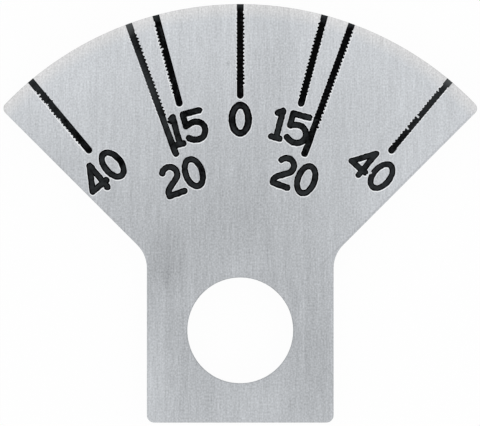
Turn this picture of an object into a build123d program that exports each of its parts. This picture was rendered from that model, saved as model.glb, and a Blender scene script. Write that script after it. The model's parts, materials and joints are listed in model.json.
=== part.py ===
from build123d import *
import math
import os

# An angle gauge cut from one flat plate, in millimetres.
# The origin is the bore's centre on the back face. The marks face +Z, and the
# zero mark lies towards +Y, in the middle of the arc.

# Plate
plate_thickness = 3.2
arc_radius = 39.7
flank_angle = 45.0
flank_offset = 1.5
tab_width = 22.7
tab_length = 11.2
neck_radius = 4.0
tip_radius = 0.8
tab_corner_radius = 0.9
edge_break = 0.08
bore_diameter = 12.9
bore_edge_break = 0.08

# Engraved grooves and the black paint that fills them
groove_depth = 0.35
paint_recess = 0.1
line_width = 0.84
stroke_width = 0.8

# Graduation lines, which run out through the arc
short_line = 11.5
long_line = 17.2
small_angle = 15.0
middle_angle = 20.0
large_angle = 40.0

# Numerals, measured on the middle of their strokes
digit_height = 3.4
digit_gap = 0.02
zero_width = 2.0
one_flag_reach = 0.55
one_flag_drop = 0.42
one_foot_left = 0.6
one_foot_right = 0.45
two_width = 1.9
two_bowl_radius = 0.92
two_bowl_shift = -0.07
two_hook_angle = 150.0
two_slope_angle = 36.0
two_slope_length = 1.3
four_reach = 1.75
four_bar_height = 0.75
four_bar_end = 0.42
five_bar_length = 2.05
five_bowl_radius = 1.09
five_shoulder_height = 1.9
five_tail_height = 0.43

# Metal left between a line's inner end and the top of its number
zero_clearance = 0.4
small_clearance = 0.62
middle_clearance = 0.42
large_clearance = 0.67

# How far each number stands off its line, clockwise about the bore
small_left_shift = 0.2
small_right_shift = -0.45
middle_shift = -0.1
large_shift = -0.4

# How far the cutters run past the plate
overcut = 1.0


def corner_pair(sketch, x, y):
    """The corners nearest to (x, y) and to its mirror image."""
    left = sketch.vertices().sort_by_distance((-x, y))[0]
    right = sketch.vertices().sort_by_distance((x, y))[0]
    return [left, right]


def plate_outline():
    """A fan about the bore, running into a straight tab below it."""
    flank = math.radians(flank_angle)
    apex_drop = flank_offset / math.sin(flank)
    reach = 2 * arc_radius
    half_span = reach * math.tan(flank)
    wedge = make_face(
        Polyline(
            (0, -apex_drop),
            (half_span, reach - apex_drop),
            (-half_span, reach - apex_drop),
            close=True,
        )
    )
    fan = Circle(arc_radius) & wedge

    neck_x = tab_width / 2
    neck_y = neck_x / math.tan(flank) - apex_drop
    tab = Pos(0, (neck_y - tab_length) / 2) * Rectangle(tab_width, neck_y + tab_length)
    outline = fan + tab

    along_flank = math.sqrt(arc_radius**2 - flank_offset**2)
    tip_x = along_flank * math.sin(flank) + flank_offset * math.cos(flank)
    tip_y = along_flank * math.cos(flank) - flank_offset * math.sin(flank)
    outline = fillet(corner_pair(outline, neck_x, neck_y), neck_radius)
    outline = fillet(corner_pair(outline, tip_x, tip_y), tip_radius)
    return fillet(corner_pair(outline, neck_x, -tab_length), tab_corner_radius)


def plate_blank():
    """The plate with its bore and its broken edges, before engraving."""
    plate = extrude(plate_outline(), plate_thickness)
    plate = chamfer(plate.faces().filter_by(Axis.Z).edges(), edge_break)
    plate -= extrude(Circle(bore_diameter / 2), plate_thickness)
    bore_rims = plate.edges().filter_by(GeomType.CIRCLE).sort_by_distance((0, 0, 0))[:2]
    return chamfer(bore_rims, bore_edge_break)


def stroke(path):
    """The track that a round cutter leaves along the middle of a stroke."""
    return make_face(offset(path, stroke_width / 2, kind=Kind.ARC))


def digit_zero():
    across = zero_width / 2
    up = digit_height / 2
    ring = Ellipse(across + stroke_width / 2, up + stroke_width / 2)
    ring -= Ellipse(across - stroke_width / 2, up - stroke_width / 2)
    return Pos(0, up) * ring, -across, across


def digit_one():
    flag_tip = (-one_flag_reach, digit_height - one_flag_drop)
    stem = Polyline(flag_tip, (0, digit_height), (0, 0))
    foot = Line((-one_foot_left, 0), (one_foot_right, 0))
    return stroke(stem) + stroke(foot), -one_foot_left, one_foot_right


def digit_two():
    """A bowl that runs straight down its tangent and curls in to the base."""
    half = two_width / 2
    sweep = two_hook_angle + 90 - two_slope_angle
    centre = (two_bowl_shift, digit_height - two_bowl_radius)
    bowl = CenterArc(centre, two_bowl_radius, two_hook_angle, -sweep)
    slope = Line(bowl @ 1, bowl @ 1 + bowl % 1 * two_slope_length)
    curl = TangentArc(slope @ 1, (-half, 0), tangent=slope % 1)
    base = Line(curl @ 1, (half, 0))
    return stroke(Curve() + [bowl, slope, curl, base]), -half, half


def digit_four():
    apex = (0, digit_height)
    corner = (-four_reach, four_bar_height)
    slant = Polyline(apex, corner, (four_bar_end, four_bar_height))
    stem = Line(apex, (0, 0))
    return stroke(slant) + stroke(stem), -four_reach, four_bar_end


def digit_five():
    """A bar and stem, then a round bowl eased in and out along flatter arcs."""
    radius = five_bowl_radius
    shoulder = (0, five_shoulder_height)
    bar = Line((five_bar_length, digit_height), (0, digit_height))
    stem = Line(bar @ 1, shoulder)
    rise = TangentArc((radius, 2 * radius), shoulder, tangent=(-1, 0))
    bowl = CenterArc((radius, radius), radius, 90, -180)
    tail = TangentArc(bowl @ 1, (0, five_tail_height), tangent=(-1, 0))
    return stroke(Curve() + [bar, stem, rise, bowl, tail]), 0, 2 * radius


def number(*digits):
    """Digits set side by side, with the middle of the row at x = 0."""
    row = Sketch()
    cursor = 0
    for shape, left, right in digits:
        row += Pos(cursor - left, 0) * shape
        cursor += right - left + stroke_width + digit_gap
    width = cursor - stroke_width - digit_gap
    return Pos(-width / 2, 0) * row


def graduation(angle, length, clearance, numeral, shift=0):
    """One line through the arc with its number below, clockwise from +Y."""
    inner_end = arc_radius - length
    round_end = inner_end + line_width / 2
    run_out = arc_radius + overcut
    line = Pos(0, round_end) * Circle(line_width / 2)
    line += Pos(0, (round_end + run_out) / 2) * Rectangle(line_width, run_out - round_end)
    baseline = inner_end - clearance - stroke_width / 2 - digit_height
    return Rot(0, 0, -angle) * (line + Pos(shift, baseline) * numeral)


def all_marks():
    """Every groove as one sketch, so that strokes that cross are cut once."""
    zero = number(digit_zero())
    small = number(digit_one(), digit_five())
    middle = number(digit_two(), digit_zero())
    large = number(digit_four(), digit_zero())
    marks = graduation(0, short_line, zero_clearance, zero)
    marks += graduation(-small_angle, short_line, small_clearance, small, small_left_shift)
    marks += graduation(small_angle, short_line, small_clearance, small, small_right_shift)
    for angle in (-middle_angle, middle_angle):
        marks += graduation(angle, long_line, middle_clearance, middle, middle_shift)
    for angle in (-large_angle, large_angle):
        marks += graduation(angle, short_line, large_clearance, large, large_shift)
    return marks


def engraved(marks, top):
    """The marks as solids, from the grooves' floor up to the given height."""
    floor = plate_thickness - groove_depth
    return extrude(Pos(0, 0, floor) * marks, top - floor)


blank = plate_blank()
marks = all_marks()
gauge_plate = blank - engraved(marks, plate_thickness + overcut)
mark_paint = blank & engraved(marks, plate_thickness - paint_recess)

os.makedirs("parts", exist_ok=True)
export_step(gauge_plate, "parts/gauge_plate.step")
export_step(mark_paint, "parts/mark_paint.step")
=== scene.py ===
import json
import math
import random

import bmesh
import bpy
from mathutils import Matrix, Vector, kdtree, noise

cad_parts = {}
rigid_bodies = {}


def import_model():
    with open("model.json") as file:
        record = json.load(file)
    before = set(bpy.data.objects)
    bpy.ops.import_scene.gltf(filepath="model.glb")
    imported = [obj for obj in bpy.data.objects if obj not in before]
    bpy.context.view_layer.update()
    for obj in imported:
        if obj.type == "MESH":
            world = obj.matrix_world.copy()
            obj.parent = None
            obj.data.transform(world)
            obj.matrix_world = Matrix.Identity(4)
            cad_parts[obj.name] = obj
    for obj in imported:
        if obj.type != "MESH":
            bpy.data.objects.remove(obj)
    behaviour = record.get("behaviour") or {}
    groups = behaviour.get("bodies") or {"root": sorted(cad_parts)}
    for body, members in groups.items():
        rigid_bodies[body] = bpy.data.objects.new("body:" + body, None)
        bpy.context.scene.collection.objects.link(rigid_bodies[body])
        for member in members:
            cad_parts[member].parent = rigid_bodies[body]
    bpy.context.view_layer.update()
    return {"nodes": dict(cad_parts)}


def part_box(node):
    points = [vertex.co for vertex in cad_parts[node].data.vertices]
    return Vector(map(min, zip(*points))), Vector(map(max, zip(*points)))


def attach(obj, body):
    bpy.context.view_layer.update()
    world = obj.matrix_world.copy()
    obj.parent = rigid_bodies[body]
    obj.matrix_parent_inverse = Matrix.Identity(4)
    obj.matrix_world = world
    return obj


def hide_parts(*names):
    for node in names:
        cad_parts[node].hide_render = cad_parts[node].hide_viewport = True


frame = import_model()
plateLow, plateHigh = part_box("gauge_plate")
paintLow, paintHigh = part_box("mark_paint")
mm = 0.001
slack = 0.01 * mm  # how far a face may lie from where it is looked for
hair = 1e-7  # metres; heights nearer than this are the same
overcut = 1 * mm  # how far the tools run out past the plate
levelFace = 0.9  # a face lies level where its normal's height is above this
print("frame loaded")


# Selecting and copying

def pick(*pieces):
    if bpy.context.mode != "OBJECT":
        bpy.ops.object.mode_set(mode="OBJECT")
    bpy.ops.object.select_all(action="DESELECT")
    for piece in pieces:
        piece.select_set(True)
    if pieces:
        bpy.context.view_layer.objects.active = pieces[0]


def editSelect(kind, wanted):  # selects the verts, edges or faces for which wanted() is true
    bpy.ops.mesh.select_all(action="DESELECT")
    bpy.ops.mesh.select_mode(type=kind)
    shape = bmesh.from_edit_mesh(bpy.context.object.data)
    for element in {"VERT": shape.verts, "EDGE": shape.edges, "FACE": shape.faces}[kind]:
        if wanted(element):
            element.select_set(True)
    bmesh.update_edit_mesh(bpy.context.object.data)


def weld(piece, distance=0.001 * mm):
    pick(piece)
    bpy.ops.object.mode_set(mode="EDIT")
    bpy.ops.mesh.select_all(action="SELECT")
    bpy.ops.mesh.remove_doubles(threshold=distance)
    bpy.ops.object.mode_set(mode="OBJECT")


def clearMarks(piece):  # what it inherited from the object that it was copied from
    for key in [key for key in piece.keys() if key.startswith("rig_")]:
        del piece[key]


def copyNode(node, name):  # a free copy of a CAD node, with its triangles joined up
    pick(frame["nodes"][node])
    bpy.ops.object.duplicate()
    piece = bpy.context.object
    piece.name = name
    clearMarks(piece)
    bpy.ops.object.parent_clear(type="CLEAR_KEEP_TRANSFORM")
    bpy.ops.mesh.customdata_custom_splitnormals_clear()
    piece.data.materials.clear()
    weld(piece)
    return piece


def cut(piece, tool, operation="DIFFERENCE"):
    pick(piece)
    bpy.ops.object.modifier_add(type="BOOLEAN")
    modifier = piece.modifiers[-1]
    modifier.operation = operation
    modifier.solver = "EXACT"
    modifier.object = tool
    bpy.ops.object.modifier_apply(modifier=modifier.name)
    bpy.data.objects.remove(tool)


# Material nodes

def startMaterial(name):
    material = bpy.data.materials.new(name)
    material.use_nodes = True
    tree = material.node_tree
    shader = tree.nodes["Principled BSDF"]
    place = tree.nodes.new("ShaderNodeTexCoord").outputs["Object"]
    return material, tree, shader, place


def calculate(tree, operation, first, second):
    step = tree.nodes.new("ShaderNodeMath")
    step.operation = operation
    for socket, value in zip(step.inputs, (first, second)):
        if isinstance(value, (int, float)):
            socket.default_value = value
        else:
            tree.links.new(value, socket)
    return step.outputs[0]


def grain(tree, place, look):  # noise about zero, with cells of the look's size in mm
    mapping = tree.nodes.new("ShaderNodeMapping")
    mapping.inputs["Scale"].default_value = [1 / (length * mm) for length in look["size"]]
    tree.links.new(place, mapping.inputs["Vector"])
    texture = tree.nodes.new("ShaderNodeTexNoise")
    texture.inputs["Scale"].default_value = 1.0
    texture.inputs["Detail"].default_value = look.get("detail", 2.0)
    texture.inputs["Roughness"].default_value = look.get("harshness", 0.5)
    tree.links.new(mapping.outputs[0], texture.inputs["Vector"])
    return calculate(tree, "SUBTRACT", texture.outputs["Fac"], 0.5)


def softSpot(tree, place, spot):  # 1 in the spot's middle, falling to 0 at its rim
    mapping = tree.nodes.new("ShaderNodeMapping")
    mapping.vector_type = "TEXTURE"
    x, y = spot["at"]
    mapping.inputs["Location"].default_value = (x * mm, y * mm, plateHigh.z)
    mapping.inputs["Rotation"].default_value = (0, 0, math.radians(spot.get("turn", 0)))
    mapping.inputs["Scale"].default_value = (spot["size"][0] * mm, spot["size"][1] * mm, 1 * mm)
    tree.links.new(place, mapping.inputs["Vector"])
    gradient = tree.nodes.new("ShaderNodeTexGradient")
    gradient.gradient_type = "SPHERICAL"
    tree.links.new(mapping.outputs[0], gradient.inputs["Vector"])
    eased = tree.nodes.new("ShaderNodeMapRange")
    eased.interpolation_type = "SMOOTHSTEP"
    tree.links.new(gradient.outputs["Fac"], eased.inputs["Value"])
    return eased.outputs[0]


def ramp(tree, place, reach):  # 0 to 1 between two radii about the bore, in mm
    radius = tree.nodes.new("ShaderNodeVectorMath")
    radius.operation = "LENGTH"
    tree.links.new(place, radius.inputs[0])
    step = tree.nodes.new("ShaderNodeMapRange")
    step.inputs["From Min"].default_value = reach[0] * mm
    step.inputs["From Max"].default_value = reach[1] * mm
    tree.links.new(radius.outputs["Value"], step.inputs["Value"])
    return step.outputs[0]


def addUp(tree, parts):  # the sum of (socket, weight) pairs
    total = None
    for socket, weight in parts:
        part = calculate(tree, "MULTIPLY", socket, weight)
        total = part if total is None else calculate(tree, "ADD", total, part)
    return total


def blend(tree, share, first, second):  # from the first colour to the second; the first may be a socket
    mix = tree.nodes.new("ShaderNodeMix")
    mix.data_type = "RGBA"
    if isinstance(first, tuple):
        mix.inputs[6].default_value = (*first, 1)
    else:
        tree.links.new(first, mix.inputs[6])
    mix.inputs[7].default_value = (*second, 1)
    tree.links.new(share, mix.inputs[0])
    return mix.outputs[2]


def toned(tree, shader, colour, tone):  # the colour made lighter or darker by a share of itself
    scale = tree.nodes.new("ShaderNodeVectorMath")
    scale.operation = "SCALE"
    if isinstance(colour, tuple):
        scale.inputs[0].default_value = colour
    else:
        tree.links.new(colour, scale.inputs[0])
    tree.links.new(calculate(tree, "ADD", tone, 1.0), scale.inputs["Scale"])
    tree.links.new(scale.outputs[0], shader.inputs["Base Color"])


def bumped(tree, shader, height, depth):  # depth in mm for a height of 1
    bump = tree.nodes.new("ShaderNodeBump")
    bump.inputs["Strength"].default_value = 1.0
    bump.inputs["Distance"].default_value = depth * mm
    tree.links.new(height, bump.inputs["Height"])
    tree.links.new(bump.outputs[0], shader.inputs["Normal"])


# The metal

brushedFace = {
    "colour": (0.445, 0.461, 0.480),
    "roughness": 0.40,
    "lines": {"size": (0.13, 2.6, 2.6), "harshness": 0.6, "tone": 0.46, "bump": 0.004},  # fine brushing
    "rougher": 0.18,  # how much the brushing changes the roughness
    "bands": {"size": (1.3, 34.0, 34.0), "detail": 3.0, "tone": 0.15},
    "streaks": {"size": (0.42, 11.0, 11.0), "tone": 0.15},
    "specks": {"size": (0.2, 0.24, 0.2), "detail": 1.0, "tone": 0.70, "bump": 0.004},
    "clouds": {"size": (9.0, 14.0, 14.0), "detail": 3.0, "tone": 0.10},
    "paintedLightTowardsArc": {"reach": (13.0, 40.0), "tone": 0.262},  # painted light: paler outwards from the bore, as if lit more strongly towards the arc
    "paintedHighlightAtArc": {"reach": (38.0, 39.5), "colour": (0.505, 0.505, 0.508)},  # painted highlight: its rim is paler and less blue, as where the rolled edge catches the light
    "spots": (
        {"at": (-8.9, 8.4), "size": (3.6, 6.5), "tone": -0.12},  # stain above the bore
        {"at": (-8.9, 6.6), "size": (1.1, 3.2), "tone": -0.08},
        {"at": (-7.3, 7.4), "size": (0.7, 3.8), "tone": -0.07},
        {"at": (-10.2, 8.0), "size": (0.8, 4.4), "tone": -0.05},
        {"at": (-8.6, -1.0), "size": (1.1, 14.0), "tone": -0.05},  # darker bands on the tab
        {"at": (-4.0, -8.5), "size": (1.6, 6.0), "tone": -0.07},
        {"at": (9.0, -4.5), "size": (4.2, 11.0), "tone": -0.075},
        {"at": (-11.8, -6.5), "size": (5.2, 12.0), "tone": 0.22},
        {"at": (3.4, -9.2), "size": (2.4, 3.2), "tone": 0.05},
        {"at": (-1.5, -10.8), "size": (15.0, 6.8), "tone": 0.065},  # painted light: paler towards the tab's end
        {"at": (4.2, 34.5), "size": (4.2, 11.0), "tone": -0.10},  # darker band beside the zero line
        {"at": (-1.0, 17.0), "size": (12.0, 17.0), "tone": -0.07},  # painted shade: darker middle of the fan
        {"at": (18.0, 15.5), "size": (7.0, 12.0), "turn": -45, "tone": 0.10},
        {"at": (25.5, 22.5), "size": (6.0, 9.0), "turn": -45, "tone": 0.05},
        {"at": (-21.5, 20.0), "size": (5.5, 9.0), "turn": 45, "tone": -0.06},
        {"at": (-12.0, 14.0), "size": (6.0, 9.0), "turn": 45, "tone": -0.05},
        {"at": (-20.0, 31.0), "size": (9.0, 7.0), "tone": 0.05},
        {"at": (0.0, 7.6), "size": (4.5, 2.4), "tone": 0.07},
        {"at": (-1.49, 32.4), "size": (0.35, 0.5), "tone": -0.2},  # one small pit
        {"at": (20.02, 18.16), "size": (0.2, 24.0), "turn": -45, "tone": -0.16},  # painted shade: darker strips along the outline's edges
        {"at": (-20.02, 18.16), "size": (0.2, 24.0), "turn": 45, "tone": -0.06},
        {"at": (-11.2, -1.0), "size": (0.2, 16.0), "tone": -0.08},
        {"at": (18.2, 25.6), "size": (0.5, 6.0), "turn": -38, "tone": 0.05},  # faint scratches
        {"at": (16.6, 26.4), "size": (0.4, 5.0), "turn": -38, "tone": -0.04},
    ),
}


def makeBrushedFace():
    look = brushedFace
    material, tree, shader, place = startMaterial("brushedFace")
    names = ("lines", "specks", "bands", "streaks", "clouds")
    textures = {name: grain(tree, place, look[name]) for name in names}
    parts = [(textures[name], look[name]["tone"]) for name in names]
    parts.append((ramp(tree, place, look["paintedLightTowardsArc"]["reach"]), look["paintedLightTowardsArc"]["tone"]))
    parts += [(softSpot(tree, place, spot), spot["tone"]) for spot in look["spots"]]
    colour = blend(tree, ramp(tree, place, look["paintedHighlightAtArc"]["reach"]), look["colour"], look["paintedHighlightAtArc"]["colour"])
    toned(tree, shader, colour, addUp(tree, parts))
    rough = addUp(tree, [(textures["lines"], look["rougher"])])
    tree.links.new(calculate(tree, "ADD", rough, look["roughness"]), shader.inputs["Roughness"])
    shader.inputs["Metallic"].default_value = 1.0
    bumps = [(textures[name], look[name]["bump"]) for name in ("lines", "specks")]
    bumped(tree, shader, addUp(tree, bumps), 1.0)
    return material


sawnEdge = {
    "colour": (0.50, 0.515, 0.535),
    "roughness": 0.46,
    "lines": {  # shear marks down through the plate
        "size": (0.09, 0.09, 1.6), "detail": 3.0, "harshness": 0.6, "tone": 0.3, "bump": 0.008,
    },
    "clouds": {"size": (3.0, 3.0, 0.8), "tone": 0.12},
}


def makeSawnEdge():
    look = sawnEdge
    material, tree, shader, place = startMaterial("sawnEdge")
    lines = grain(tree, place, look["lines"])
    clouds = grain(tree, place, look["clouds"])
    parts = [(lines, look["lines"]["tone"]), (clouds, look["clouds"]["tone"])]
    toned(tree, shader, look["colour"], addUp(tree, parts))
    shader.inputs["Metallic"].default_value = 1.0
    shader.inputs["Roughness"].default_value = look["roughness"]
    bumped(tree, shader, lines, look["lines"]["bump"])
    return material


burnishedAndGlinting = {
    # pale as burnished metal, and so much paler than the face that the groove rims show a painted glint
    "colour": (0.86, 0.87, 0.88),
    "roughness": 0.30,
    "specks": {"size": (0.2, 0.2, 0.2), "tone": 0.35},
}


def makeBurnishedAndGlinting():
    look = burnishedAndGlinting
    material, tree, shader, place = startMaterial("burnishedBurrGlint")
    specks = grain(tree, place, look["specks"])
    toned(tree, shader, look["colour"], addUp(tree, [(specks, look["specks"]["tone"])]))
    shader.inputs["Metallic"].default_value = 1.0
    shader.inputs["Roughness"].default_value = look["roughness"]
    return material


# The paint

blackPaint = {
    "colour": (0.0010, 0.00105, 0.0012),
    "worn": (0.027, 0.030, 0.032),  # where the coat is thin and greyer, and the colour of the sunken middle's painted sheen
    "meniscus": 0.16,  # width of the dark rim that stands up against the walls
    "sag": 0.03,  # how far the middle has sunk below it
    "roughness": 0.5,
    "specular": 0.02,
    "digits": {"reach": (28.6, 27.4), "amount": 0.75},  # the numerals' sunken middles are greyer all over: a worn coat, and painted sheen
    "ends": {"reach": (39.1, 39.6), "amount": 0.9},  # the lines' ends are worn grey right across
    "patches": (  # angle of the line, radius, size across and along it
        {"angle": -20.3, "radius": 33.0, "size": (0.8, 10.0), "amount": 1.0},  # but black in the teeth
        {"angle": -40, "radius": 37.0, "size": (1.6, 9.0), "amount": 0.65},
        {"angle": 40, "radius": 37.0, "size": (1.6, 10.5), "amount": 0.85},
        {"angle": 20, "radius": 25.0, "size": (1.0, 5.0), "amount": -0.7},
        {"angle": 0, "radius": 25.4, "size": (2.6, 3.6), "amount": -0.4},
        {"angle": -14, "radius": 25.4, "size": (3.6, 3.6), "amount": -0.6},
        {"angle": -35.2, "radius": 25.6, "size": (1.2, 2.2), "amount": -0.7},
        {"angle": -13.5, "radius": 19.7, "size": (1.2, 2.6), "amount": -0.8},
        {"angle": 13.0, "radius": 26.6, "size": (1.6, 1.6), "amount": -0.5},
    ),
    "rubbed": (0.085, 0.090, 0.092),  # where the coat is almost gone
    "rubbedPatches": (
        {"angle": -20, "radius": 39.7, "size": (1.6, 2.0), "amount": 1.0},
        {"angle": -20, "radius": 30.8, "size": (1.0, 3.4), "amount": 0.14},
        {"angle": 40, "radius": 39.7, "size": (1.6, 1.4), "amount": 1.0},
    ),
    "blotches": {"size": (1.0, 1.0, 1.0), "tone": 2.2},
    "specks": {"size": (0.25, 0.25, 0.25), "tone": 0.5, "bump": 0.01},
}


def polar(angle, radius):  # clockwise from the zero line, in mm
    turn = math.radians(angle)
    return radius * math.sin(turn), radius * math.cos(turn)


def paintPatches(tree, place, patches):
    parts = []
    for patch in patches:
        spot = {"at": polar(patch["angle"], patch["radius"]), "size": patch["size"], "turn": -patch["angle"]}
        parts.append((softSpot(tree, place, spot), patch["amount"]))
    return parts


def makeBlackPaint(name, sheenAndWear):  # 0 for the dark rim at the walls and 1 for the sunken middle, which is painted greyer: partly a thin coat, partly painted sheen
    look = blackPaint
    material, tree, shader, place = startMaterial(name)
    specks = grain(tree, place, look["specks"])
    parts = [
        (ramp(tree, place, look["digits"]["reach"]), look["digits"]["amount"] * sheenAndWear),
        (ramp(tree, place, look["ends"]["reach"]), look["ends"]["amount"]),
        (specks, look["specks"]["tone"]),
        (grain(tree, place, look["blotches"]), look["blotches"]["tone"] * sheenAndWear),
    ]
    parts += paintPatches(tree, place, look["patches"])
    worn = blend(tree, addUp(tree, parts), look["colour"], look["worn"])
    rubbed = addUp(tree, paintPatches(tree, place, look["rubbedPatches"]))
    tree.links.new(blend(tree, rubbed, worn, look["rubbed"]), shader.inputs["Base Color"])
    shader.inputs["Roughness"].default_value = look["roughness"]
    shader.inputs["Specular IOR Level"].default_value = look["specular"]
    bumped(tree, shader, specks, look["specks"]["bump"])
    return material


# Tools that the plate is finished with

rim = {
    "run": 0.9,  # mm over which the arc's upper edge rolls off
    "drop": 0.015,  # mm that it falls by at the arc
    "ease": 3.4,  # the higher this is, the nearer to the arc it turns down
    "rings": 8,
    "sides": 720,
    "over": 0.02,  # mm by which the tool stands out past the arc
}


def addRimTool(top):  # a disc whose upper rim rolls off softly, as the arc's does
    radius = plateHigh.y + rim["over"] * mm
    bottom = plateLow.z - overcut
    bpy.ops.mesh.primitive_cylinder_add(
        vertices=rim["sides"], radius=radius, depth=top - bottom, location=(0, 0, (top + bottom) / 2)
    )
    tool = bpy.context.object
    bpy.ops.object.transform_apply(location=True, rotation=False, scale=False)
    bpy.ops.object.mode_set(mode="EDIT")
    editSelect("FACE", lambda face: face.normal.z > levelFace)
    step = rim["run"] / rim["rings"] * mm
    for ring in range(rim["rings"]):
        bpy.ops.mesh.inset(thickness=step)
    for ring in range(rim["rings"]):
        reach = radius - ring * step
        share = (1 - ring / rim["rings"]) ** rim["ease"]
        editSelect("VERT", lambda vert: vert.co.z > top - hair and abs(vert.co.xy.length - reach) < step / 4)
        bpy.ops.transform.translate(value=(0, 0, -share * rim["drop"] * mm))
    bpy.ops.object.mode_set(mode="OBJECT")
    return tool


# The chattering cutter left ridges along the grooves' walls and bit out the metal between them.
# Lengths in mm.
chatter = {
    "halfWidth": 0.42,
    "bite": (0.16, 0.28),  # half sizes of one bite, along and across the line
    "sides": 16,
    "seed": 7,
    "stray": 0.12,  # share of the pitch by which a bite may stand out of its place
    "behind": 0.1,  # how far a ridge reaches back into its wall
    "root": 0.05,  # how deep the ridges stand in the grooves' floor
    "step": 0.003,  # keeps the tools' faces off the plate's own
    "rows": (
        {"angle": -40, "side": -1, "start": 29.9, "end": 38.3, "ridge": 0.06,
         "pitch": 0.46, "depth": 0.165, "spread": 0.3, "lean": 15},
        {"angle": -40, "side": 1, "start": 35.8, "end": 37.9, "ridge": 0.0,
         "pitch": 0.62, "depth": 0.1, "spread": 0.5, "lean": 0},
        {"angle": -20, "side": 1, "start": 24.3, "end": 38.6, "ridge": 0.055,
         "pitch": 0.47, "depth": 0.185, "spread": 0.15, "lean": -20, "firstBite": 27.4},
        {"angle": -20, "side": -1, "start": 28.0, "end": 38.6, "ridge": 0.0,
         "pitch": 0.47, "depth": 0.06, "spread": 0.4, "lean": 0},
        {"angle": -15, "side": -1, "start": 29.9, "end": 39.0, "ridge": 0.063,
         "pitch": 0.46, "depth": 0.19, "spread": 0.2, "lean": 15},
        {"angle": 0, "side": 1, "start": 29.9, "end": 38.9, "ridge": 0.053,
         "pitch": 0.46, "depth": 0.168, "spread": 0.2, "lean": -15},
        {"angle": 0, "side": -1, "start": 30.4, "end": 38.9, "ridge": 0.023,
         "pitch": 0.46, "depth": 0.085, "spread": 0.3, "lean": 15},
        {"angle": 15, "side": -1, "start": 29.3, "end": 39.0, "ridge": 0.055,
         "pitch": 0.45, "depth": 0.18, "spread": 0.2, "lean": 25},
        {"angle": 15, "side": 1, "start": 29.6, "end": 38.4, "ridge": 0.035,
         "pitch": 0.45, "depth": 0.105, "spread": 0.25, "lean": -15},
        {"angle": 20, "side": 1, "start": 26.3, "end": 39.0, "ridge": 0.055,
         "pitch": 0.45, "depth": 0.185, "spread": 0.2, "lean": -25},
        {"angle": 20, "side": -1, "start": 27.2, "end": 38.5, "ridge": 0.035,
         "pitch": 0.45, "depth": 0.09, "spread": 0.3, "lean": 15},
        {"angle": 40, "side": -1, "start": 29.2, "end": 38.8, "ridge": 0.08,
         "pitch": 0.46, "depth": 0.125, "spread": 0.3, "lean": 15},
        {"angle": 40, "side": 1, "start": 29.2, "end": 38.9, "ridge": 0.08,
         "pitch": 0.48, "depth": 0.04, "spread": 0.5, "lean": 0},
    ),
    "nicks": (  # slivers of metal left standing in the grooves
        {"angle": -40, "side": -1, "start": 37.55, "end": 37.7, "ridge": 0.26},
        {"angle": -40, "side": -1, "start": 36.05, "end": 36.17, "ridge": 0.22},
        {"angle": -40, "side": -1, "start": 33.75, "end": 33.85, "ridge": 0.18},
        {"angle": -15, "side": -1, "start": 35.45, "end": 35.6, "ridge": 0.26},
        {"angle": -15, "side": -1, "start": 31.0, "end": 31.1, "ridge": 0.16},
        {"angle": 40, "side": -1, "start": 33.70, "end": 33.90, "ridge": 0.42},
        {"angle": 40, "side": -1, "start": 31.82, "end": 32.00, "ridge": 0.38},
        {"angle": 40, "side": -1, "start": 37.75, "end": 37.85, "ridge": 0.22},
    ),
    "pecks": ({"at": (-8.63, 25.32), "turn": -30},),  # bites that the cutter took out of the numerals' walls
    "sliver": {"at": (15.68, 19.06), "width": 0.14, "length": 0.72, "turn": -64},  # across the last numeral
}


def lineAxes(row):  # along the line, and across it towards the row's side
    along = Vector(polar(row["angle"], 1))
    return along, Vector((along.y, -along.x)) * row["side"]


def addBar(middle, width, length, turn, bottom, top):
    bpy.ops.mesh.primitive_cube_add(
        size=1,
        location=(middle[0] * mm, middle[1] * mm, (top + bottom) / 2),
        rotation=(0, 0, math.radians(turn)),
        scale=(width * mm, length * mm, top - bottom),
    )
    return bpy.context.object


def addRidges(rows, bottom, top):  # a bar for each row, standing in the groove against its wall
    bars = []
    for row in rows:
        along, across = lineAxes(row)
        width = row["ridge"] + chatter["behind"]
        middle = along * (row["start"] + row["end"]) / 2
        middle += across * (chatter["halfWidth"] - row["ridge"] + width / 2)
        bars.append(addBar(middle, width, row["end"] - row["start"], -row["angle"], bottom, top))
    return joined(bars)


def addNicks(bottom, top):
    sliver = chatter["sliver"]
    bar = addBar(sliver["at"], sliver["width"], sliver["length"], sliver["turn"], bottom, top)
    return joined([bar, addRidges(chatter["nicks"], bottom, top)])


def ridgeRows():
    return [row for row in chatter["rows"] if row["ridge"] > 0]


def biteList():  # the place and turn of each bite, in four lots so that none in a lot overlap
    dice = random.Random(chatter["seed"])
    lots = ([], [], [], [])
    for row in chatter["rows"]:
        along, across = lineAxes(row)
        count = int((row["end"] - row["start"]) / row["pitch"])
        for index in range(count):
            depth = row["depth"] * (1 + row["spread"] * dice.uniform(-1, 1)) - row["ridge"]
            reach = row["start"] + (index + 0.5 + chatter["stray"] * dice.uniform(-1, 1)) * row["pitch"]
            offset = chatter["halfWidth"] + depth - chatter["bite"][1]
            if reach < row.get("firstBite", 0):
                continue
            lot = lots[index % 2 + row["side"] + 1]
            lot.append((along * reach + across * offset, row["lean"] - row["angle"]))
    lots[0].extend((Vector(peck["at"]), peck["turn"]) for peck in chatter["pecks"])
    return lots


def addBites(lot, bottom, top):  # one upright cutter for each bite, joined into one tool
    bpy.ops.mesh.primitive_cylinder_add(vertices=chatter["sides"], radius=mm, depth=top - bottom)
    first = bpy.context.object
    along, across = chatter["bite"]
    first.scale = (across, along, 1)
    bites = []
    for middle, turn in lot:
        bite = first.copy()
        bite.data = first.data.copy()
        bite.location = (middle.x * mm, middle.y * mm, (top + bottom) / 2)
        bite.rotation_euler.z = math.radians(turn)
        bpy.context.collection.objects.link(bite)
        bites.append(bite)
    bpy.data.objects.remove(first)
    return joined(bites)


def joined(pieces):
    pick(*pieces)
    if len(pieces) > 1:
        bpy.ops.object.join()
    bpy.ops.object.transform_apply(location=True, rotation=True, scale=True)
    return bpy.context.object


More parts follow.
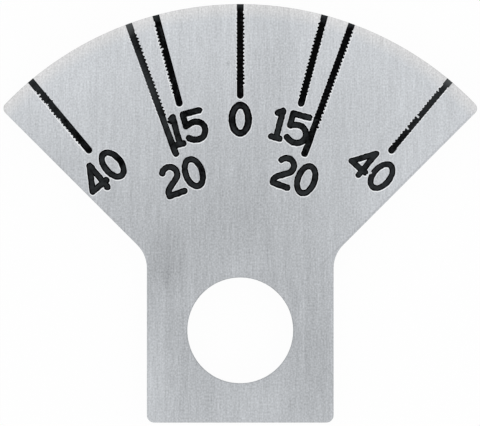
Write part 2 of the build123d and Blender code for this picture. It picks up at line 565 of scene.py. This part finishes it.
# The numerals' walls aren't quite smooth, and some strokes came out wider than others.
# Lengths in mm.
wobble = {
    "seed": 1795666824,  # of the noise's vectors, which the clock would choose otherwise
    "segment": 0.16,  # the longest straight piece left in a wall
    "reach": (27.9, 28.4),  # the lines beyond this radius keep straight walls
    "passes": 5,  # times that a long edge may be halved
    "flat": 0.1,  # degrees between faces that are one plane
    "level": 0.999,  # and which lie level, with normals higher than this
    "cell": 0.36,  # size of one wave
    "amount": 0.055,  # and its height
    "nearSliver": (0.5, 1.0),  # the walls about the sliver stay straight too
    "wider": (  # about a number's middle
        {"angle": 0, "radius": 25.6, "reach": 3.4, "by": 0.045},
        {"angle": 40, "radius": 25.4, "reach": 4.4, "by": -0.027},
    ),
}


def grooveWall(face):
    deep = min(vert.co.z for vert in face.verts)
    return abs(face.normal.z) < plate["wallLevel"] and deep > paintLow.z - slack


def longRim(edge):  # a level edge of a numeral's wall that is still too long to bend
    if abs(edge.verts[0].co.z - edge.verts[1].co.z) > hair or edge.calc_length() < wobble["segment"] * mm:
        return False
    near = min(vert.co.xy.length for vert in edge.verts) < wobble["reach"][1] * mm
    return near and any(grooveWall(face) for face in edge.link_faces)


def divideRims(piece):
    pick(piece)
    bpy.ops.object.mode_set(mode="EDIT")
    editSelect("FACE", grooveWall)
    bpy.ops.mesh.tris_convert_to_quads()
    editSelect("FACE", lambda face: abs(face.normal.z) > wobble["level"])
    bpy.ops.mesh.dissolve_limited(angle_limit=math.radians(wobble["flat"]))
    for turn in range(wobble["passes"]):
        editSelect("EDGE", longRim)
        bpy.ops.mesh.subdivide(number_cuts=1)
    bpy.ops.object.mode_set(mode="OBJECT")


def shareBetween(value, start, end):  # 0 at the start, 1 at the end and beyond
    return min(1, max(0, (value - start) / (end - start)))


def bendWalls(piece, side):  # side is 1 for the paint and -1 for the metal round it
    noise.seed_set(wobble["seed"])
    shape = bmesh.new()
    shape.from_mesh(piece.data)
    sliver = Vector(chatter["sliver"]["at"]) * mm
    moves = []
    for vert in shape.verts:
        walls = [face for face in vert.link_faces if grooveWall(face)]
        share = 1 - shareBetween(vert.co.xy.length / mm, *wobble["reach"])
        share *= shareBetween((vert.co.xy - sliver).length / mm, *wobble["nearSliver"])
        if share == 0 or not walls:
            continue
        place = Vector((vert.co.x, vert.co.y, 0)) / (wobble["cell"] * mm)
        move = noise.noise_vector(place).xy * wobble["amount"]
        outward = sum((face.normal.xy for face in walls), Vector((0, 0))).normalized() * side
        for number in wobble["wider"]:
            away = (vert.co.xy - Vector(polar(number["angle"], number["radius"])) * mm).length
            if away < number["reach"] * mm:
                move += outward * number["by"]
        moves.append((vert, move * share * mm))
    for vert, move in moves:
        vert.co.xy += move
    shape.to_mesh(piece.data)
    shape.free()


def fillAgain(piece, height):  # new faces at one height, because bent walls can fold the old ones
    pick(piece)
    bpy.ops.object.mode_set(mode="EDIT")
    editSelect("FACE", lambda face: all(abs(vert.co.z - height) < hair for vert in face.verts))
    bpy.ops.mesh.delete(type="FACE")
    editSelect("EDGE", lambda edge: len(edge.link_faces) == 1)
    bpy.ops.mesh.fill()
    bpy.ops.mesh.select_all(action="SELECT")
    bpy.ops.mesh.normals_make_consistent(inside=False)
    bpy.ops.object.mode_set(mode="OBJECT")


# The plate

plate = {
    "smoothAngle": 32,
    "toolLift": 0.004,  # mm by which the rim tool clears the face
    "wallLevel": 0.25,  # a face is a wall where its normal's height is below this
}


def assign(piece, slot, wanted):
    pick(piece)
    bpy.ops.object.mode_set(mode="EDIT")
    editSelect("FACE", wanted)
    piece.active_material_index = slot
    bpy.ops.object.material_slot_assign()
    bpy.ops.object.mode_set(mode="OBJECT")


def makePlate():
    piece = copyNode("gauge_plate", "gaugePlate")
    divideRims(piece)
    root = paintLow.z - chatter["root"] * mm
    step = chatter["step"] * mm
    cut(piece, addRidges(ridgeRows(), root, plateHigh.z - step), "UNION")
    for number, lot in enumerate(biteList()):
        rise = step * (1 + number / 4)  # each lot ends at its own height, so that no floors coincide
        cut(piece, addBites(lot, paintLow.z + rise, plateHigh.z + overcut))
    cut(piece, addNicks(root, plateHigh.z - 2 * step), "UNION")
    cut(piece, addRimTool(plateHigh.z + plate["toolLift"] * mm), "INTERSECT")
    weld(piece)
    bendWalls(piece, -1)
    fillAgain(piece, plateHigh.z)
    for material in (makeBrushedFace(), makeSawnEdge()):
        piece.data.materials.append(material)
    assign(piece, 0, lambda face: True)
    assign(piece, 1, lambda face: abs(face.normal.z) < plate["wallLevel"])
    pick(piece)
    bpy.ops.object.shade_smooth_by_angle(angle=math.radians(plate["smoothAngle"]))
    bpy.ops.object.modifier_add(type="WEIGHTED_NORMAL")
    piece.modifiers[-1].keep_sharp = True
    bpy.ops.object.modifier_apply(modifier=piece.modifiers[-1].name)
    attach(piece, "root")
    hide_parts("gauge_plate")
    print("plate done", len(piece.data.polygons), "faces")
    return piece


def makePaint():
    piece = copyNode("mark_paint", "markPaint")
    for material in (makeBlackPaint("blackPaint", 0.0), makeBlackPaint("sunkenPaint", 1.0)):
        piece.data.materials.append(material)
    divideRims(piece)
    bpy.ops.object.mode_set(mode="EDIT")
    editSelect("FACE", lambda face: face.normal.z > levelFace)
    bpy.ops.mesh.inset(thickness=blackPaint["meniscus"] * mm, depth=-blackPaint["sag"] * mm)
    piece.active_material_index = 1
    bpy.ops.object.material_slot_assign()
    bpy.ops.object.mode_set(mode="OBJECT")
    root = paintLow.z - chatter["root"] * mm
    step = chatter["step"] * mm
    cut(piece, addRidges(ridgeRows(), root, plateHigh.z))
    for number, lot in enumerate(biteList()):
        rise = step * (1 + number / 4)
        cut(piece, addBites(lot, paintLow.z + rise, paintHigh.z - rise), "UNION")
    cut(piece, addNicks(root, plateHigh.z))
    recess = plateHigh.z - paintHigh.z
    cut(piece, addRimTool(plateHigh.z - recess + plate["toolLift"] * mm), "INTERSECT")
    weld(piece)
    bendWalls(piece, 1)
    pick(piece)
    bpy.ops.object.shade_smooth_by_angle(angle=math.radians(plate["smoothAngle"]))
    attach(piece, "root")
    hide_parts("mark_paint")
    print("paint done", len(piece.data.polygons), "faces")
    return piece


# The burr that the cutter threw up along the grooves

burr = {  # lengths in mm
    "level": 0.5,  # the face beside a wall has a normal that is higher than this
    "radius": 0.05,
    "least": 0.5,  # share of the radius on the sides that were cut cleanly
    "towards": (0.05, 1.0),  # the burr is heavier on walls that face this way
    "patch": 0.9,  # from its thick to its thin places
    "uneven": 0.6,
    "thinnest": 0.2,  # share of the radius that is always left
    "sink": 0.02,  # how far its middle lies below the face
    "back": 0.085,  # how far it stands back from the groove
    "sides": 1,
    "worn": {"angle": -18.4, "radius": 25.4, "reach": 1.9, "share": 0.35},  # between a line and a numeral
    "thread": {"sides": 8, "piece": 0.12, "cell": 0.5, "uneven": 0.8},
    "threads": (  # straight burrs that stand beside the teeth
        {"angle": -40, "side": -1, "start": 28.9, "end": 38.9, "stand": 0.14, "radius": 0.045},
        {"angle": -15, "side": -1, "start": 29.6, "end": 38.4, "stand": 0.17, "radius": 0.03},
        {"angle": 20, "side": 1, "start": 28.0, "end": 38.6, "stand": 0.17, "radius": 0.03},
    ),
}


def addThread(row):  # a bar lying along the line, cut in short lengths and made uneven
    along, across = lineAxes(row)
    middle = along * (row["start"] + row["end"]) / 2 + across * (chatter["halfWidth"] + row["stand"])
    length = row["end"] - row["start"]
    look = burr["thread"]
    bpy.ops.mesh.primitive_cylinder_add(vertices=look["sides"], radius=row["radius"] * mm, depth=length * mm)
    piece = bpy.context.object
    bpy.ops.object.mode_set(mode="EDIT")
    editSelect("EDGE", lambda edge: edge.calc_length() > length * mm / 2)
    bpy.ops.mesh.subdivide(number_cuts=int(length / look["piece"]))
    bpy.ops.object.mode_set(mode="OBJECT")
    for vert in piece.data.vertices:
        wave = noise.noise(Vector((row["angle"], 0, vert.co.z / (look["cell"] * mm))))
        vert.co.xy *= 1 + look["uneven"] * wave
    piece.rotation_euler = (math.radians(-90), 0, math.radians(-row["angle"]))
    piece.location = (middle.x * mm, middle.y * mm, plateHigh.z - burr["sink"] * mm)
    return piece


def grooveRim(edge):  # an edge between a groove's wall and the face, away from the arc
    if len(edge.link_faces) != 2:
        return False
    for wall, face in (edge.link_faces, reversed(edge.link_faces)):
        deep = min(vert.co.z for vert in wall.verts)
        far = max(vert.co.xy.length for vert in wall.verts)
        steep = abs(wall.normal.z) < plate["wallLevel"]
        inside = paintLow.z - slack < deep < paintHigh.z and far < plateHigh.y - 2 * slack
        if steep and inside and face.normal.z > burr["level"]:
            return True
    return False


def makeBurr(plateObject):
    pick(plateObject)
    bpy.ops.object.mode_set(mode="EDIT")
    editSelect("EDGE", grooveRim)
    bpy.ops.mesh.duplicate()
    bpy.ops.mesh.separate(type="SELECTED")
    bpy.ops.object.mode_set(mode="OBJECT")
    piece = [one for one in bpy.context.selected_objects if one != plateObject][0]
    piece.name = "grooveBurr"
    clearMarks(piece)

    walls = [face for face in plateObject.data.polygons if abs(face.normal.z) < plate["wallLevel"]]
    tree = kdtree.KDTree(len(walls))
    for index, wall in enumerate(walls):
        tree.insert(wall.center, index)
    tree.balance()

    pick(piece)
    bpy.ops.object.convert(target="CURVE")
    curve = piece.data
    towards = Vector(burr["towards"]).normalized()
    worn = Vector(polar(burr["worn"]["angle"], burr["worn"]["radius"])) * mm
    for spline in curve.splines:
        for point in spline.points:
            here = point.co.xyz
            outward = walls[tree.find(here)[1]].normal.xy
            facing = outward.dot(towards)
            share = burr["least"] + (1 - burr["least"]) * max(0.0, facing)
            wave = 1 + burr["uneven"] * noise.noise(here / (burr["patch"] * mm))
            point.radius = share * max(wave, burr["thinnest"])
            if (here.xy - worn).length < burr["worn"]["reach"] * mm:
                point.radius *= burr["worn"]["share"]
            point.co.xy -= outward.normalized() * point.radius * burr["back"] * mm
            point.co.z -= burr["sink"] * mm
    curve.dimensions = "3D"
    curve.bevel_depth = burr["radius"] * mm
    curve.bevel_resolution = burr["sides"]
    curve.use_fill_caps = True
    bpy.ops.object.convert(target="MESH")
    piece = bpy.context.object
    weld(piece)
    piece = joined([piece] + [addThread(row) for row in burr["threads"]])
    piece.data.materials.clear()
    piece.data.materials.append(makeBurnishedAndGlinting())
    bpy.ops.object.shade_smooth()
    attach(piece, "root")
    print("burr done", len(piece.data.polygons), "faces")
    return piece


plateObject = makePlate()
makePaint()
makeBurr(plateObject)


# Floor, light and camera

room = {
    "floorSize": 6.0,
    "floorGap": 0.02,  # mm below the plate's back
    "floorGlow": 0.96,  # share of the floor that shows plain white
    "floorColour": (0.9, 0.9, 0.9),
    "daylight": 0.8,  # what falls on the floor and on paint; the camera and the metal see plain white
}

lamps = {  # sizes and places in mm, power in watts
    "softBox": {"size": (260, 170), "at": (12, 142, 150), "aim": (0, 30, 0), "power": 0.045},
    "fillLight": {"size": (200, 100), "at": (20, -115, 140), "aim": (0, -10, 0), "power": 0.035},
}

camera = {
    "lens": 800,
    "sensor": 36,
    "frameWidth": 58.37,  # mm that the picture shows from side to side
    "aim": (-0.03, 14.288),
    "clip": (0.01, 100),
}


def seenDirectly(tree):  # 1 for camera, glossy and transmission rays
    path = tree.nodes.new("ShaderNodeLightPath")
    either = calculate(tree, "MAXIMUM", path.outputs["Is Camera Ray"], path.outputs["Is Glossy Ray"])
    return calculate(tree, "MAXIMUM", either, path.outputs["Is Transmission Ray"])


def makeFloor():
    pick()
    height = plateLow.z - room["floorGap"] * mm
    bpy.ops.mesh.primitive_plane_add(size=room["floorSize"], location=(0, 0, height))
    floor = bpy.context.object
    floor.name = "floor"
    material = bpy.data.materials.new("paleFloor")
    material.use_nodes = True
    tree = material.node_tree
    tree.nodes.clear()
    diffuse = tree.nodes.new("ShaderNodeBsdfDiffuse")
    diffuse.inputs["Color"].default_value = (*room["floorColour"], 1)
    glow = tree.nodes.new("ShaderNodeEmission")
    mix = tree.nodes.new("ShaderNodeMixShader")
    tree.links.new(calculate(tree, "MULTIPLY", seenDirectly(tree), room["floorGlow"]), mix.inputs[0])
    tree.links.new(diffuse.outputs[0], mix.inputs[1])
    tree.links.new(glow.outputs[0], mix.inputs[2])
    clear = tree.nodes.new("ShaderNodeBsdfTransparent")  # so that the plate's back can be seen from below
    sides = tree.nodes.new("ShaderNodeMixShader")
    tree.links.new(tree.nodes.new("ShaderNodeNewGeometry").outputs["Backfacing"], sides.inputs[0])
    tree.links.new(mix.outputs[0], sides.inputs[1])
    tree.links.new(clear.outputs[0], sides.inputs[2])
    output = tree.nodes.new("ShaderNodeOutputMaterial")
    tree.links.new(sides.outputs[0], output.inputs["Surface"])
    floor.data.materials.append(material)


def makeWorld():
    world = bpy.data.worlds.new("softRoom")
    bpy.context.scene.world = world
    world.use_nodes = True
    tree = world.node_tree
    tree.nodes.clear()
    light = tree.nodes.new("ShaderNodeBackground")
    light.inputs["Strength"].default_value = room["daylight"]
    white = tree.nodes.new("ShaderNodeBackground")
    for background in (light, white):
        background.inputs["Color"].default_value = (1, 1, 1, 1)
    mix = tree.nodes.new("ShaderNodeMixShader")
    tree.links.new(seenDirectly(tree), mix.inputs[0])
    tree.links.new(light.outputs[0], mix.inputs[1])
    tree.links.new(white.outputs[0], mix.inputs[2])
    output = tree.nodes.new("ShaderNodeOutputWorld")
    tree.links.new(mix.outputs[0], output.inputs["Surface"])


def addLamp(name):
    lamp = lamps[name]
    bpy.ops.object.light_add(type="AREA", location=[length * mm for length in lamp["at"]])
    light = bpy.context.object
    light.name = name
    light.data.shape = "RECTANGLE"
    light.data.size, light.data.size_y = [length * mm for length in lamp["size"]]
    light.data.energy = lamp["power"]
    aim = Vector(lamp["aim"]) * mm
    light.rotation_euler = (aim - light.location).to_track_quat("-Z", "Y").to_euler()
    light.visible_camera = False


def addCamera():
    distance = camera["frameWidth"] * camera["lens"] / camera["sensor"] * mm
    x, y = [length * mm for length in camera["aim"]]
    bpy.ops.object.camera_add(location=(x, y, plateHigh.z + distance), rotation=(0, 0, 0))
    eye = bpy.context.object
    eye.data.lens = camera["lens"]
    eye.data.sensor_width = camera["sensor"]
    eye.data.clip_start, eye.data.clip_end = camera["clip"]
    bpy.context.scene.camera = eye


makeFloor()
makeWorld()
for name in lamps:
    addLamp(name)
addCamera()
bpy.context.scene.view_settings.view_transform = "Standard"
print("room and camera done")
